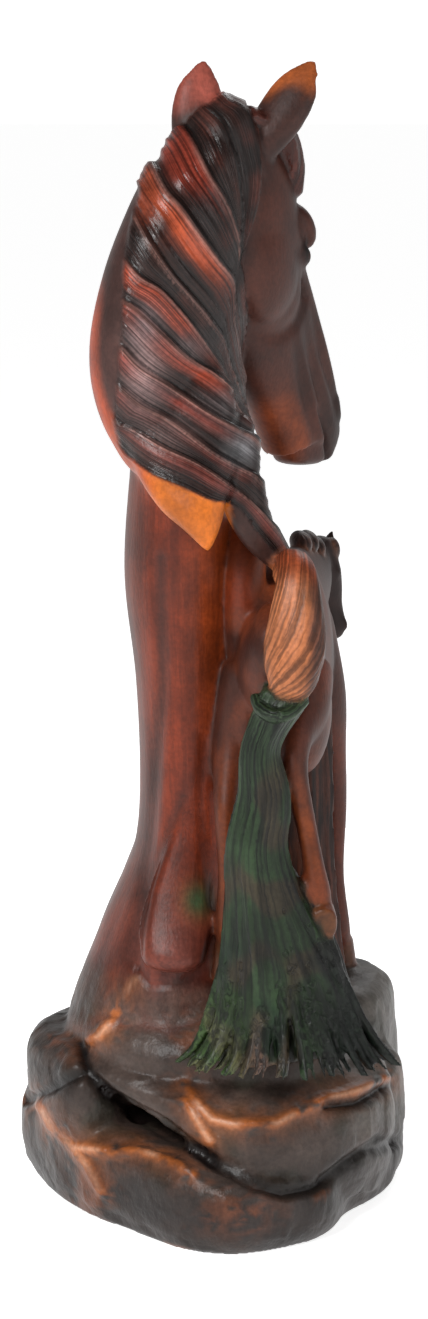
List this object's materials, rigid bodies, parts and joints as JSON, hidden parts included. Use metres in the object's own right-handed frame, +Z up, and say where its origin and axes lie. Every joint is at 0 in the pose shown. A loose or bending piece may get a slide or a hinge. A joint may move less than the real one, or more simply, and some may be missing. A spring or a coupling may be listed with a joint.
{
  "type": "horse and foal figurine",
  "caption": "Cast resin statuette of a mare's head and arched neck rising from a rock, with a foal walking beside it and a tuft of tall grass under its tail.",
  "frame": {"origin": "on the flat underside, in the middle of the rock's width and length", "axes": "+Z up, +Y the way the foal walks, +X towards the side that the foal stands on; the picture looks along +Y"},
  "size_m": [0.106, 0.12, 0.3006],
  "materials": {
    "painted_resin": "cast resin stained reddish brown to near black, green painted grass, dark rock with orange worn ridges, satin varnish"
  },
  "bodies": {
    "root": {"mare_and_foal_casting": "painted_resin"}
  },
  "joints": []
}
